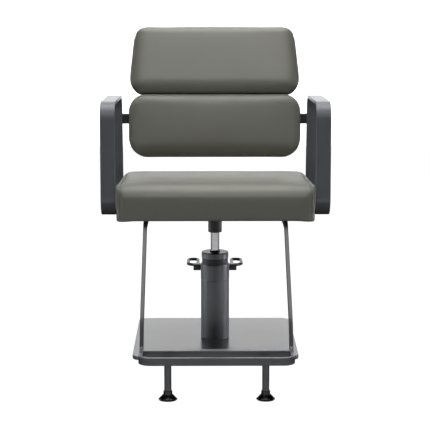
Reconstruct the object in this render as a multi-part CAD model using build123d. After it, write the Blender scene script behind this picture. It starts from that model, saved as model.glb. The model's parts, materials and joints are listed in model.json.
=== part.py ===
from build123d import *
import math
import os

# Hydraulic styling chair, in millimetres. The origin is on the floor, on the swivel axis.
# +Z is up, the sitter faces -Y, and +X is at the sitter's left hand.

# Base plate
BASE_SIDE = 460.0
BASE_CORNER_R = 30.0
BASE_T = 10.0
PAD_T = 2.0
PAD_R = 25.0
CENTRE_PAD_R = 14.0
PLATE_EDGE = 1.2
PAD_INSET = 45.0
BASE_TOP = PAD_T + BASE_T

# Hydraulic pump
TUBE_R = 40.6
TUBE_WALL = 4.0
FLANGE_T = 10.0
HEAD_R = 41.1
HEAD_Z = 183.0
HEAD_TOP = 232.5
HEAD_SHOULDER_R = 6.0
JOINT_BEVEL = 1.2
SPIGOT_DEPTH = 12.0
NECK_R = 37.2
CAP_R = 38.75
CAP_Z = 247.0
CAP_TOP = 264.0
CAP_DISC_T = 3.5
CAP_DISC_R = 38.4
CAP_BEVEL = 1.0
CYLINDER_R = 17.5
CYLINDER_WALL = 4.0
BUSH_R = 18.0
BUSH_TOP = 258.0
WIPER_R = 14.8
WIPER_PROUD = 2.5
WIPER_FLOAT = 0.2
BUSH_FLOAT = 0.1
SHAFT_BORE_GAP = 1.0
BASE_SCREW_PCD_R = 26.0
BASE_SCREW_R = 4.0
BASE_SCREW_HEAD_R = 8.0
BASE_SCREW_HEAD_H = 4.0
SCREW_TIP_GAP = 2.0
FIT = 0.05
DRILL = 0.1

# Piston rod and the socket under the seat
ROD_R = 12.5
ROD_Z = 30.0
ROD_TOP = 371.0
SOCKET_R = 19.7
SOCKET_Z = 321.0
SOCKET_FLANGE_R = 40.0
SOCKET_FLANGE_T = 6.0
ROD_BEVEL = 1.5
SOCKET_BEVEL = 1.5
SOCKET_SCREW_R = 3.5
SOCKET_SCREW_Z = (338.0, 358.0)
SOCKET_SCREW_KEY_R = 2.0
SOCKET_SCREW_KEY_DEPTH = 3.0
SCREW_RUN_IN = 3.0

# Pump pedal: one shaft across the pump head, a hub and a foot loop at each end
SHAFT_Y = 25.0
SHAFT_Z = 214.0
SHAFT_R = 6.0
BOSS_R = 11.0
BOSS_X = 41.1
PEDAL_BUSH_R = 8.0
PEDAL_BUSH_L = 18.0
HUB_X = 41.6
HUB_END = 62.5
HUB_DEPTH = 26.0
HUB_H = 18.0
HUB_EDGE_R = 3.0
HUB_END_BEVEL = 0.8
HUB_END_WALL = 2.0
HUB_SCREW_R = 3.0
HUB_SCREW_INSET = 5.0
HUB_SCREW_KEY_R = 1.7
HUB_SCREW_KEY_DEPTH = 2.5
LOOP_ROD_R = 4.4
LOOP_INNER = 49.5
LOOP_OUTER = 78.0
LOOP_BACK = 137.0
LOOP_STRAIGHT = 9.0
LOOP_FLARE = 26.0
LOOP_BENDS = [9.0, 10.0, 13.0, 10.0]
SPRING_WIRE_R = 0.6
SPRING_R = 7.0
SPRING_TURNS = 6
SPRING_PITCH = 1.5
SPRING_START = 1.5
SPRING_ROOM = 0.3

# Seat and the steel under it
SEAT_HALF_W = 269.5
SEAT_FRONT = -248.0
SEAT_REAR = 222.0
SEAT_BOTTOM = 395.0
SEAT_TOP_FRONT = 489.0
SEAT_TOP_REAR = 466.0
SEAT_FRONT_R = 38.0
SEAT_REAR_R = 24.0
SEAT_PLAN_R = 34.0
COVER_T = 1.5
CLOTH_T = 1.0
BOARD_T = 15.0
BOARD_INSET = 11.0
STRAP_T = 6.0
STRAP_W = 40.0
STRAP_HALF_L = 304.0
STRAP_FRONT_Y = -65.0
STRAP_REAR_Y = 120.0
STRAP_CORNER_R = 6.0
PLATE_T = 6.0
PLATE_HALF_W = 120.0
PLATE_BOLT_X = 95.0
PLATE_OVERHANG = 5.0
PLATE_CORNER_R = 12.0
CLOTH_INSET = 2.0
BOLT_R = 4.0
BOLT_HEAD_R = 6.5
BOLT_HEAD_H = 5.0
BOLT_TIP_GAP = 3.0
ARM_TIP_GAP = 1.5
SPACER_R = 12.0

# Arms: closed loops of flat bar, drawn on their outer face
ARM_X = 272.0
ARM_W = 40.0
ARM_T = 9.0
ARM_R = 50.0
ARM_FRONT_BOTTOM = (-222.0, 400.0)
ARM_FRONT_TOP = (-208.0, 711.0)
ARM_REAR_TOP = (158.0, 704.0)
ARM_REAR_BOTTOM = (183.0, 400.0)
ARM_EDGE_R = 1.6
ARM_BOLT_X = ARM_X + ARM_W / 2

# Back: two cushions on boards, carried by two bent flats on a bar between the arms
BACK_LOWER_LEAN = 8.0
BACK_UPPER_LEAN = 21.0
BACK_BOTTOM = (136.5, 522.0)
LOWER_LENGTH = 184.0
BACK_T = 54.0
UPPER_LENGTH = 206.0
CUSHION_GAP = 1.5
PANEL_T = 4.0
BACK_BOARD_T = 12.0
BACK_BOARD_INSET = 13.0
POCKET_END = 10.0
PANEL_INSET = 5.0
PANEL_END = 3.0
BACK_SCREW_R = 3.0
BACK_SCREW_HEAD_R = 5.5
BACK_SCREW_HEAD_H = 3.2
LOWER_SCREWS = (60.0, 165.0)
UPPER_SCREWS = (25.0, 130.0)
LOWER_HALF_W = 251.0
UPPER_HALF_W_LOW = 253.0
UPPER_HALF_W_TOP = 233.5
LOWER_TOP_R = 50.0
LOWER_LOW_R = 54.0
UPPER_TOP_R = 39.0
UPPER_LOW_R = 57.0
BACK_EDGE_R = 24.0
SIDE_CUT = 300.0
CROSSBAR_Z = 631.5
CROSSBAR_H = 29.0
CROSSBAR_T = 10.0
CROSSBAR_HALF_L = 304.0
CROSSBAR_EDGE_R = 1.5
SPINE_X = 90.0
SPINE_W = 30.0
SPINE_T = 6.0
SPINE_START = 40.0
SPINE_UPPER = 150.0
SPINE_TOP_R = 2.0
SPINE_PAD_HALF_W = 12.0
SPINE_PAD_HALF_H = 10.0

# Footrest: two bent side bars, a front hoop, a cross bar, two posts and two glides
REST_X = 191.0
REST_W = 10.0
REST_H = 20.0
REST_TOP_Z = SEAT_BOTTOM - STRAP_T - REST_H / 2
HOOP_Y = -597.0
HOOP_Z = 98.8
REST_PATH = [(145.0, REST_TOP_Z), (-225.0, REST_TOP_Z), (-468.0, 165.0), (-503.0, HOOP_Z), (-545.0, HOOP_Z)]
REST_BENDS = [40.0, 60.0, 25.0]
HOOP_BEND = 25.0
REST_CROSS_FRONT = -532.0
REST_CROSS_DEPTH = 20.0
POST_X = 122.0
POST_Y = -593.0
POST_R = 9.0
GLIDE_GAP = 1.0
GLIDE_H = 23.0
GLIDE_R = 23.8
GLIDE_COLLAR_R = 11.2
GLIDE_RIBS = 10
GLIDE_BEVEL = 1.0
GLIDE_LEAN = 0.5
GLIDE_RIM = 2.2
GLIDE_WAIST = 14.0
GLIDE_SKIRT = [(16.0, 5.0), (12.6, 9.5)]
GLIDE_RIB_HALF_T = 1.0
GLIDE_RIB_INSET = 1.5
GLIDE_RIB_LOW = 1.2
GLIDE_RIB_HIGH = 3.0
GLIDE_RIB_ROOT = 8.0
GLIDE_RIB_TOP_R = 12.0
POST_DEPTH = 13.0
REST_EDGE_R = 1.5

LOW = (Align.CENTER, Align.CENTER, Align.MIN)
parts = {}


def cylinder(radius, low, high):
    """A cylinder on the Z axis between two heights."""
    return Pos(0, 0, low) * Cylinder(radius, high - low, align=LOW)


def ring(outer, inner, low, high):
    """A tube on the Z axis between two heights."""
    return cylinder(outer, low, high) - cylinder(inner, low, high)


def block(x0, x1, y0, y1, z0, z1):
    """A box between two corners."""
    return Pos((x0 + x1) / 2, (y0 + y1) / 2, (z0 + z1) / 2) * Box(x1 - x0, y1 - y0, z1 - z0)


def side_slab(points, half_width, centre_x=0.0):
    """A side outline of (y, z) points, as wide as twice half_width."""
    face = make_face(Polyline(*points, close=True))
    return extrude(Plane.YZ.offset(centre_x - half_width) * face, amount=2 * half_width)


def rounded_outline(points, radii):
    """A closed outline with its own radius at each corner."""
    face = make_face(Polyline(*points, close=True))
    for point, radius in zip(points, radii):
        if radius == 0:
            continue
        corner = face.vertices().sort_by_distance((point[0], point[1], 0))[0]
        face = fillet(corner, radius)
    return face


def bolt(shank_r, length, head_r, head_h):
    """A socket-head bolt along +Z, with its head below z = 0."""
    head = Pos(0, 0, -head_h) * Cylinder(head_r, head_h, align=LOW)
    head = chamfer(head.edges().group_by(Axis.Z)[0], 0.25 * head_h)
    socket = Pos(0, 0, -head_h) * extrude(RegularPolygon(0.5 * head_r, 6), amount=0.6 * head_h)
    return head + Cylinder(shank_r, length, align=LOW) - socket


def drilled(node, places, radius, length):
    """The node with a clearance hole at each place, along its +Z."""
    for place in places:
        node = node - place * Cylinder(radius + DRILL, length + DRILL, align=LOW)
    return node


def each(places, piece):
    """The same piece at every place, as separate solids in one node."""
    return Compound(children=[place * piece for place in places])


def add(points, direction, distance):
    """A (y, z) point moved along a direction."""
    return (points[0] + distance * direction[0], points[1] + distance * direction[1])


def rod_along(path, radius):
    """A round rod along a path of lines and tangent arcs."""
    start = Plane(path @ 0, z_dir=path % 0)
    return sweep(start * Circle(radius), path=path)


def make_base():
    half = BASE_SIDE / 2
    plan = RectangleRounded(BASE_SIDE, BASE_SIDE, BASE_CORNER_R)
    plate = extrude(Pos(0, 0, PAD_T) * plan, amount=BASE_T)
    plate = chamfer(plate.edges().group_by(Axis.Z)[-1], PLATE_EDGE)
    screw_length = BASE_T + FLANGE_T - SCREW_TIP_GAP
    screw_places = [
        Pos(BASE_SCREW_PCD_R * math.cos(math.radians(45 + 90 * n)),
            BASE_SCREW_PCD_R * math.sin(math.radians(45 + 90 * n)), PAD_T)
        for n in range(4)
    ]
    screw = Cone(BASE_SCREW_HEAD_R, BASE_SCREW_R, BASE_SCREW_HEAD_H, align=LOW)
    screw = screw + Cylinder(BASE_SCREW_R, screw_length, align=LOW)
    screw = screw - extrude(RegularPolygon(0.6 * BASE_SCREW_R, 6), amount=0.7 * BASE_SCREW_HEAD_H)
    seat = Cone(BASE_SCREW_HEAD_R + DRILL, BASE_SCREW_R + DRILL, BASE_SCREW_HEAD_H, align=LOW)
    for place in screw_places:
        plate = plate - place * seat
    parts["base_plate"] = drilled(plate, screw_places, BASE_SCREW_R, BASE_T)
    flange = ring(TUBE_R - TUBE_WALL - FIT, BASE_SCREW_HEAD_R, BASE_TOP, BASE_TOP + FLANGE_T)
    parts["pump_foot_flange"] = drilled(flange, screw_places, BASE_SCREW_R, screw_length)
    parts["base_screws"] = each(screw_places, screw)
    pad_at = half - PAD_INSET
    pad_places = [Pos(x, y, 0) for x in (-pad_at, pad_at) for y in (-pad_at, pad_at)]
    pads = [place * Cylinder(PAD_R, PAD_T, align=LOW) for place in pad_places]
    pads.append(Cylinder(CENTRE_PAD_R, PAD_T, align=LOW))
    parts["base_pads"] = Compound(children=pads)


def make_pump():
    tube = cylinder(TUBE_R, BASE_TOP, HEAD_Z)
    tube = chamfer(tube.edges().group_by(Axis.Z)[-1], JOINT_BEVEL)
    parts["pump_tube"] = tube - cylinder(TUBE_R - TUBE_WALL, BASE_TOP, HEAD_Z)
    parts["inner_cylinder"] = ring(CYLINDER_R, CYLINDER_R - CYLINDER_WALL, BASE_TOP + FLANGE_T, HEAD_TOP)
    across = Pos(0, SHAFT_Y, SHAFT_Z) * Rot(0, 90, 0)
    head = cylinder(HEAD_R, HEAD_Z, HEAD_TOP)
    head = chamfer(head.edges().group_by(Axis.Z)[0], JOINT_BEVEL)
    head = fillet(head.edges().group_by(Axis.Z)[-1], HEAD_SHOULDER_R)
    head = head + across * Cylinder(BOSS_R, 2 * BOSS_X)
    head = head + cylinder(TUBE_R - TUBE_WALL - FIT, HEAD_Z - SPIGOT_DEPTH, HEAD_Z)
    head = head - cylinder(CYLINDER_R + FIT, HEAD_Z - SPIGOT_DEPTH, HEAD_TOP)
    head = head - across * Cylinder(SHAFT_R + SHAFT_BORE_GAP, 2 * HUB_END)
    bush_x = BOSS_X - PEDAL_BUSH_L / 2
    bush_places = [Pos(side * bush_x, SHAFT_Y, SHAFT_Z) * Rot(0, 90, 0) for side in (-1, 1)]
    bush = Cylinder(PEDAL_BUSH_R, PEDAL_BUSH_L) - Cylinder(SHAFT_R + FIT, PEDAL_BUSH_L)
    for place in bush_places:
        head = head - place * Cylinder(PEDAL_BUSH_R + FIT, PEDAL_BUSH_L)
    parts["pump_head"] = head
    parts["pedal_bushes"] = each(bush_places, bush)
    parts["pump_neck"] = ring(NECK_R, BUSH_R + FIT, HEAD_TOP, CAP_Z)
    disc_z = CAP_TOP - CAP_DISC_T
    cap = ring(CAP_R, WIPER_R + FIT, CAP_Z, disc_z)
    parts["pump_cap"] = cap - cylinder(BUSH_R + FIT, CAP_Z, BUSH_TOP + BUSH_FLOAT)
    disc = cylinder(CAP_DISC_R, disc_z, CAP_TOP)
    disc = chamfer(disc.edges().group_by(Axis.Z)[-1], CAP_BEVEL)
    parts["pump_cap_disc"] = disc - cylinder(WIPER_R + FIT, disc_z, CAP_TOP)
    wiper = ring(WIPER_R, ROD_R + FIT, BUSH_TOP + WIPER_FLOAT, CAP_TOP + WIPER_PROUD)
    parts["rod_wiper"] = chamfer(wiper.edges().group_by(Axis.Z)[-1].sort_by(Edge.length)[-1], CAP_BEVEL)
    parts["swivel_bush"] = ring(BUSH_R, ROD_R + FIT, HEAD_TOP + BUSH_FLOAT, BUSH_TOP)


def make_pedal():
    shaft = Pos(0, SHAFT_Y, SHAFT_Z) * Rot(0, 90, 0) * Cylinder(SHAFT_R, 2 * (HUB_END - HUB_END_WALL))
    parts["pedal_shaft"] = shaft
    hub = block(HUB_X, HUB_END, SHAFT_Y - HUB_DEPTH / 2, SHAFT_Y + HUB_DEPTH / 2, SHAFT_Z - HUB_H / 2,
                SHAFT_Z + HUB_H / 2)
    hub = fillet(hub.edges().filter_by(Axis.X), HUB_EDGE_R)
    hub = chamfer(hub.edges().group_by(Axis.X)[-1], HUB_END_BEVEL)
    across = Pos(HUB_X, SHAFT_Y, SHAFT_Z) * Rot(0, 90, 0)
    hub = hub - across * Cylinder(SHAFT_R + FIT, HUB_END - HUB_X - HUB_END_WALL + DRILL, align=LOW)
    spring_length = SPRING_TURNS * SPRING_PITCH
    spring_bore_r = SPRING_R + SPRING_WIRE_R + SPRING_ROOM
    hub = hub - across * Cylinder(spring_bore_r, spring_length + 2 * SPRING_START, align=LOW)
    grub_depth = HUB_DEPTH / 2 - SHAFT_R
    screw_x = HUB_END - HUB_SCREW_INSET
    grub_place = Pos(screw_x, SHAFT_Y - HUB_DEPTH / 2, SHAFT_Z) * Rot(-90, 0, 0)
    key = extrude(RegularPolygon(HUB_SCREW_KEY_R, 6), amount=HUB_SCREW_KEY_DEPTH)
    grub = Cylinder(HUB_SCREW_R, grub_depth - 2 * FIT, align=LOW) - key
    hub = hub - grub_place * Cylinder(HUB_SCREW_R + FIT, grub_depth, align=LOW)
    front = SHAFT_Y + HUB_DEPTH / 2
    path = FilletPolyline(
        (screw_x, front, SHAFT_Z), (screw_x, front + LOOP_STRAIGHT, SHAFT_Z),
        (LOOP_OUTER, front + LOOP_FLARE, SHAFT_Z), (LOOP_OUTER, LOOP_BACK, SHAFT_Z),
        (LOOP_INNER, LOOP_BACK, SHAFT_Z), (LOOP_INNER, front, SHAFT_Z),
        radius=LOOP_BENDS,
    )
    loop = rod_along(path, LOOP_ROD_R)
    spring_path = Helix(SPRING_PITCH, spring_length, SPRING_R)
    spring = sweep(Plane(spring_path @ 0, z_dir=spring_path % 0) * Circle(SPRING_WIRE_R), path=spring_path)
    parts["pedal_spring"] = Pos(HUB_X + SPRING_START, SHAFT_Y, SHAFT_Z) * Rot(0, 90, 0) * spring
    parts["pedal_hub_left"] = hub
    parts["pedal_hub_right"] = mirror(hub, Plane.YZ)
    parts["pedal_loop_left"] = loop
    parts["pedal_loop_right"] = mirror(loop, Plane.YZ)
    grub = grub_place * grub
    parts["pedal_set_screws"] = Compound(children=[grub, mirror(grub, Plane.YZ)])


def make_socket():
    rod = cylinder(ROD_R, ROD_Z, ROD_TOP)
    parts["piston_rod"] = chamfer(rod.edges().group_by(Axis.Z)[0], ROD_BEVEL)
    top = SEAT_BOTTOM - STRAP_T - PLATE_T
    socket = cylinder(SOCKET_R, SOCKET_Z, top)
    socket = chamfer(socket.edges().group_by(Axis.Z)[0], SOCKET_BEVEL)
    socket = socket + cylinder(SOCKET_FLANGE_R, top - SOCKET_FLANGE_T, top)
    socket = socket - cylinder(ROD_R + FIT, SOCKET_Z, ROD_TOP + FIT)
    depth = SOCKET_R - ROD_R
    places = [Pos(0, SOCKET_R, z) * Rot(90, 0, 0) for z in SOCKET_SCREW_Z]
    hole = Pos(0, 0, -SCREW_RUN_IN) * Cylinder(SOCKET_SCREW_R + FIT, depth + SCREW_RUN_IN, align=LOW)
    for place in places:
        socket = socket - place * hole
    key = extrude(RegularPolygon(SOCKET_SCREW_KEY_R, 6), amount=SOCKET_SCREW_KEY_DEPTH)
    grub = Cylinder(SOCKET_SCREW_R, depth - 2 * FIT, align=LOW) - key
    parts["seat_socket"] = socket
    parts["socket_set_screws"] = each(places, grub)


def make_seat():
    middle = (SEAT_FRONT + SEAT_REAR) / 2
    depth = SEAT_REAR - SEAT_FRONT
    board_bottom = SEAT_BOTTOM + CLOTH_T

    def pad(inset, bottom):
        front, rear = SEAT_FRONT + inset, SEAT_REAR - inset
        front_top = (front, SEAT_TOP_FRONT - inset)
        rear_top = (rear, SEAT_TOP_REAR - inset)
        corners = [(front, bottom), front_top, rear_top, (rear, bottom)]
        face = rounded_outline(corners, [0, SEAT_FRONT_R - inset, SEAT_REAR_R - inset, 0])
        half = SEAT_HALF_W - inset
        plan = Pos(0, middle, bottom) * RectangleRounded(2 * half, rear - front, SEAT_PLAN_R - inset)
        return extrude(Plane.YZ.offset(-half) * face, amount=2 * half) & extrude(plan, amount=SEAT_TOP_FRONT)

    board_w = 2 * (SEAT_HALF_W - BOARD_INSET)
    board_d = depth - 2 * BOARD_INSET
    board_r = SEAT_PLAN_R - BOARD_INSET
    board_plan = Pos(0, middle, board_bottom) * RectangleRounded(board_w, board_d, board_r)
    board = extrude(board_plan, amount=BOARD_T)
    pocket_plan = RectangleRounded(board_w + 2 * DRILL, board_d + 2 * DRILL, board_r)
    pocket_plan = Pos(0, middle, SEAT_BOTTOM) * pocket_plan
    parts["seat_cover"] = pad(0, SEAT_BOTTOM) - pad(COVER_T, SEAT_BOTTOM - COVER_T)
    parts["seat_foam"] = pad(COVER_T, SEAT_BOTTOM) - extrude(pocket_plan, amount=CLOTH_T + BOARD_T + DRILL)
    cloth_plan = Pos(0, middle, SEAT_BOTTOM) * RectangleRounded(
        board_w - 2 * CLOTH_INSET, board_d - 2 * CLOTH_INSET, board_r)
    cloth = extrude(cloth_plan, amount=CLOTH_T)
    rest_bottom = REST_TOP_Z - REST_H / 2
    plate_bottom = SEAT_BOTTOM - STRAP_T - PLATE_T
    strap_bottom = SEAT_BOTTOM - STRAP_T
    rows = (STRAP_FRONT_Y, STRAP_REAR_Y)
    rest_places = [Pos(x, y, rest_bottom) for x in (-REST_X, REST_X) for y in rows]
    plate_places = [Pos(x, y, plate_bottom) for x in (-PLATE_BOLT_X, PLATE_BOLT_X) for y in rows]
    arm_places = [Pos(x, y, strap_bottom) for x in (-ARM_BOLT_X, ARM_BOLT_X) for y in rows]
    board_grip = board_bottom + BOARD_T - BOLT_TIP_GAP
    rest_length = board_grip - rest_bottom
    plate_length = board_grip - plate_bottom
    arm_z = ARM_FRONT_BOTTOM[1]
    arm_length = arm_z + ARM_T - ARM_TIP_GAP - strap_bottom
    board = drilled(drilled(board, rest_places, BOLT_R, rest_length), plate_places, BOLT_R, plate_length)
    cloth = drilled(drilled(cloth, rest_places, BOLT_R, rest_length), plate_places, BOLT_R, plate_length)
    parts["seat_board"] = board
    parts["seat_bottom_cloth"] = cloth
    for name, y in (("seat_strap_front", STRAP_FRONT_Y), ("seat_strap_rear", STRAP_REAR_Y)):
        strap = Pos(0, y, strap_bottom) * RectangleRounded(2 * STRAP_HALF_L, STRAP_W, STRAP_CORNER_R)
        strap = extrude(strap, amount=STRAP_T)
        strap = drilled(drilled(strap, rest_places, BOLT_R, rest_length), plate_places, BOLT_R, plate_length)
        parts[name] = drilled(strap, arm_places, BOLT_R, arm_length)
    plate_y0 = STRAP_FRONT_Y - STRAP_W / 2 - PLATE_OVERHANG
    plate_y1 = STRAP_REAR_Y + STRAP_W / 2 + PLATE_OVERHANG
    plate = Pos(0, (plate_y0 + plate_y1) / 2, plate_bottom) * RectangleRounded(
        2 * PLATE_HALF_W, plate_y1 - plate_y0, PLATE_CORNER_R)
    parts["seat_plate"] = drilled(extrude(plate, amount=PLATE_T), plate_places, BOLT_R, plate_length)
    parts["seat_plate_bolts"] = each(plate_places, bolt(BOLT_R, plate_length, BOLT_HEAD_R, BOLT_HEAD_H))
    parts["footrest_bolts"] = each(rest_places, bolt(BOLT_R, rest_length, BOLT_HEAD_R, BOLT_HEAD_H))
    parts["arm_bolts"] = each(arm_places, bolt(BOLT_R, arm_length, BOLT_HEAD_R, BOLT_HEAD_H))
    spacer = ring(SPACER_R, BOLT_R + DRILL, SEAT_BOTTOM, arm_z)
    parts["arm_spacers"] = each([Pos(x, y, 0) for x in (-ARM_BOLT_X, ARM_BOLT_X) for y in rows], spacer)
    return rest_places, rest_length, arm_places, arm_length


def make_arms(arm_places, arm_length, crossbar_places, crossbar_grip):
    corners = [ARM_FRONT_BOTTOM, ARM_FRONT_TOP, ARM_REAR_TOP, ARM_REAR_BOTTOM]
    outer = rounded_outline(corners, [ARM_R] * 4)
    inner = offset(outer, amount=-ARM_T)
    for name, side in (("arm_left", 1), ("arm_right", -1)):
        low_x = ARM_X if side > 0 else -ARM_X - ARM_W
        arm = extrude(Plane.YZ.offset(low_x) * (outer - inner), amount=ARM_W)
        arm = fillet(arm.faces().filter_by(Axis.X).edges(), ARM_EDGE_R)
        arm = drilled(arm, arm_places, BOLT_R, arm_length)
        parts[name] = drilled(arm, crossbar_places, BOLT_R, crossbar_grip)


def make_back():
    lower_s = (math.sin(math.radians(BACK_LOWER_LEAN)), math.cos(math.radians(BACK_LOWER_LEAN)))
    upper_s = (math.sin(math.radians(BACK_UPPER_LEAN)), math.cos(math.radians(BACK_UPPER_LEAN)))
    lower_n = (-lower_s[1], lower_s[0])
    upper_n = (-upper_s[1], upper_s[0])
    lower_top = add(BACK_BOTTOM, lower_s, LOWER_LENGTH)
    upper_low = add(lower_top, lower_s, CUSHION_GAP)
    upper_front = add(upper_low, lower_n, BACK_T)
    upper_t = (upper_front[0] - upper_low[0]) * upper_n[0] + (upper_front[1] - upper_low[1]) * upper_n[1]
    front_top = add(upper_front, upper_s, UPPER_LENGTH)
    upper_top = add(front_top, upper_n, -upper_t)
    upper_start = (upper_front[0] - upper_low[0]) * upper_s[0] + (upper_front[1] - upper_low[1]) * upper_s[1]

    def lower_points(near, far, start=0.0, end=0.0):
        a = add(BACK_BOTTOM, lower_s, start)
        b = add(lower_top, lower_s, -end)
        return [add(a, lower_n, near), add(a, lower_n, far), add(b, lower_n, far), add(b, lower_n, near)]

    def upper_points(near, far, start=0.0, end=0.0):
        share = [distance / upper_t * BACK_T for distance in (near, far)]
        a = [add(add(upper_low, lower_n, part), upper_s, start) for part in share]
        b = add(upper_top, upper_s, -end)
        return [a[0], a[1], add(b, upper_n, far), add(b, upper_n, near)]

    def own_slab(kind, inset, near, far):
        """The cushion's rounded outline in its own leaning plane, between two distances from its rear."""
        if kind == "lower":
            origin, normal = BACK_BOTTOM, lower_n
            s0, s1 = inset, LOWER_LENGTH - inset
            low = top = LOWER_HALF_W - inset
            low_r, top_r = LOWER_LOW_R, LOWER_TOP_R
        else:
            origin, normal = upper_low, upper_n
            s0, s1 = upper_start + inset, upper_start + UPPER_LENGTH - inset
            low, top = UPPER_HALF_W_LOW - inset, UPPER_HALF_W_TOP - inset
            low_r, top_r = UPPER_LOW_R, UPPER_TOP_R
        face = rounded_outline([(-low, s0), (-top, s1), (top, s1), (low, s0)],
                               [r - inset / 2 for r in (low_r, top_r, top_r, low_r)])
        start = add(origin, normal, near)
        plane = Plane(origin=(0, *start), x_dir=(1, 0, 0), z_dir=(0, *normal))
        return extrude(plane * face, amount=far - near)

    spine_line = [add(BACK_BOTTOM, lower_s, SPINE_START), upper_low, add(upper_low, upper_s, SPINE_UPPER)]
    spine_back = [
        add(spine_line[2], upper_n, -SPINE_T),
        add(add(upper_low, lower_n, -SPINE_T), lower_s,
            -SPINE_T * math.tan(math.radians((BACK_UPPER_LEAN - BACK_LOWER_LEAN) / 2))),
        add(spine_line[0], lower_n, -SPINE_T),
    ]
    screw_spots = [(BACK_BOTTOM, lower_s, lower_n, d) for d in LOWER_SCREWS]
    screw_spots += [(upper_low, upper_s, upper_n, d) for d in UPPER_SCREWS]
    screw_places = []
    for side in (-1, 1):
        for origin, s, n, d in screw_spots:
            spot = add(add(origin, s, d), n, -SPINE_T)
            screw_places.append(
                Plane(origin=(side * SPINE_X, spot[0], spot[1]), z_dir=(0, n[0], n[1])).location)
    screw_length = SPINE_T + PANEL_T + BACK_BOARD_T - SCREW_TIP_GAP

    for kind, points in (("lower", lower_points), ("upper", upper_points)):
        thick, normal = (BACK_T, lower_n) if kind == "lower" else (upper_t, upper_n)
        rear = PANEL_T + BACK_BOARD_T

        def pad(inset, near):
            soft = own_slab(kind, inset, near, thick - inset)
            front = soft.faces().sort_by(Axis((0, 0, 0), (0, *normal)))[-1]
            soft = fillet(front.edges(), BACK_EDGE_R - inset)
            if kind == "lower":
                return soft
            low = add(upper_low, upper_s, inset)
            below = [add(low, lower_n, -SPINE_T), add(low, lower_n, 2 * BACK_T)]
            above = [add(point, upper_s, 2 * UPPER_LENGTH) for point in reversed(below)]
            return soft & side_slab(below + above, SIDE_CUT)

        pocket = side_slab(points(PANEL_T - COVER_T, rear + DRILL, POCKET_END, POCKET_END), SIDE_CUT)
        pocket = pocket & own_slab(kind, BACK_BOARD_INSET - DRILL, -SPINE_T, BACK_T)
        parts["back_cover_" + kind] = pad(0, PANEL_T) - pad(COVER_T, PANEL_T - COVER_T)
        parts["back_foam_" + kind] = pad(COVER_T, PANEL_T) - pocket
        board_end = POCKET_END + DRILL
        board = side_slab(points(PANEL_T, rear, board_end, board_end), SIDE_CUT)
        board = board & own_slab(kind, BACK_BOARD_INSET, -SPINE_T, BACK_T)
        panel = side_slab(points(0, PANEL_T, PANEL_END, PANEL_END), SIDE_CUT)
        panel = panel & own_slab(kind, PANEL_INSET, -SPINE_T, BACK_T)
        parts["back_board_" + kind] = drilled(board, screw_places, BACK_SCREW_R, screw_length)
        parts["back_panel_" + kind] = drilled(panel, screw_places, BACK_SCREW_R, screw_length)

    for name, side in (("back_spine_left", 1), ("back_spine_right", -1)):
        spine = side_slab(spine_line + spine_back, SPINE_W / 2, side * SPINE_X)
        spine = fillet(spine.edges().filter_by(Axis.X).sort_by(Axis.Z)[-2:], SPINE_TOP_R)
        parts[name] = drilled(spine, screw_places, BACK_SCREW_R, screw_length)
    parts["spine_screws"] = each(screw_places, bolt(
        BACK_SCREW_R, screw_length, BACK_SCREW_HEAD_R, BACK_SCREW_HEAD_H))

    run = (ARM_REAR_BOTTOM[0] - ARM_REAR_TOP[0], ARM_REAR_BOTTOM[1] - ARM_REAR_TOP[1])
    length = math.hypot(*run)
    down = (run[0] / length, run[1] / length)
    behind = (-down[1], down[0])
    centre = add(ARM_REAR_TOP, down, (CROSSBAR_Z - ARM_REAR_TOP[1]) / down[1])
    low = add(centre, down, CROSSBAR_H / 2)
    high = add(centre, down, -CROSSBAR_H / 2)
    bar = side_slab([low, high, add(high, behind, CROSSBAR_T), add(low, behind, CROSSBAR_T)], CROSSBAR_HALF_L)
    bar = fillet(bar.edges().filter_by(Axis.X), CROSSBAR_EDGE_R)
    grip = CROSSBAR_T + ARM_T - ARM_TIP_GAP
    spot = add(centre, behind, CROSSBAR_T)
    bar_places = [
        Plane(origin=(x, spot[0], spot[1]), z_dir=(0, -behind[0], -behind[1])).location
        for x in (-ARM_BOLT_X, ARM_BOLT_X)
    ]
    parts["back_crossbar"] = drilled(bar, bar_places, BOLT_R, grip)
    parts["crossbar_bolts"] = each(bar_places, bolt(BOLT_R, grip, BOLT_HEAD_R, BOLT_HEAD_H))

    def spine_rear(z):
        return BACK_BOTTOM[0] + (z - BACK_BOTTOM[1]) * lower_s[0] / lower_s[1] + SPINE_T / lower_s[1]

    pad_low, pad_high = CROSSBAR_Z - SPINE_PAD_HALF_H, CROSSBAR_Z + SPINE_PAD_HALF_H
    bar_face = [centre[0] + (z - CROSSBAR_Z) * down[0] / down[1] for z in (pad_low, pad_high)]
    pad_points = [(spine_rear(pad_low), pad_low), (bar_face[0], pad_low), (bar_face[1], pad_high),
                  (spine_rear(pad_high), pad_high)]
    pads = [side_slab(pad_points, SPINE_PAD_HALF_W, side * SPINE_X) for side in (-1, 1)]
    parts["spine_pads"] = Compound(children=pads)
    return bar_places, grip


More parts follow.
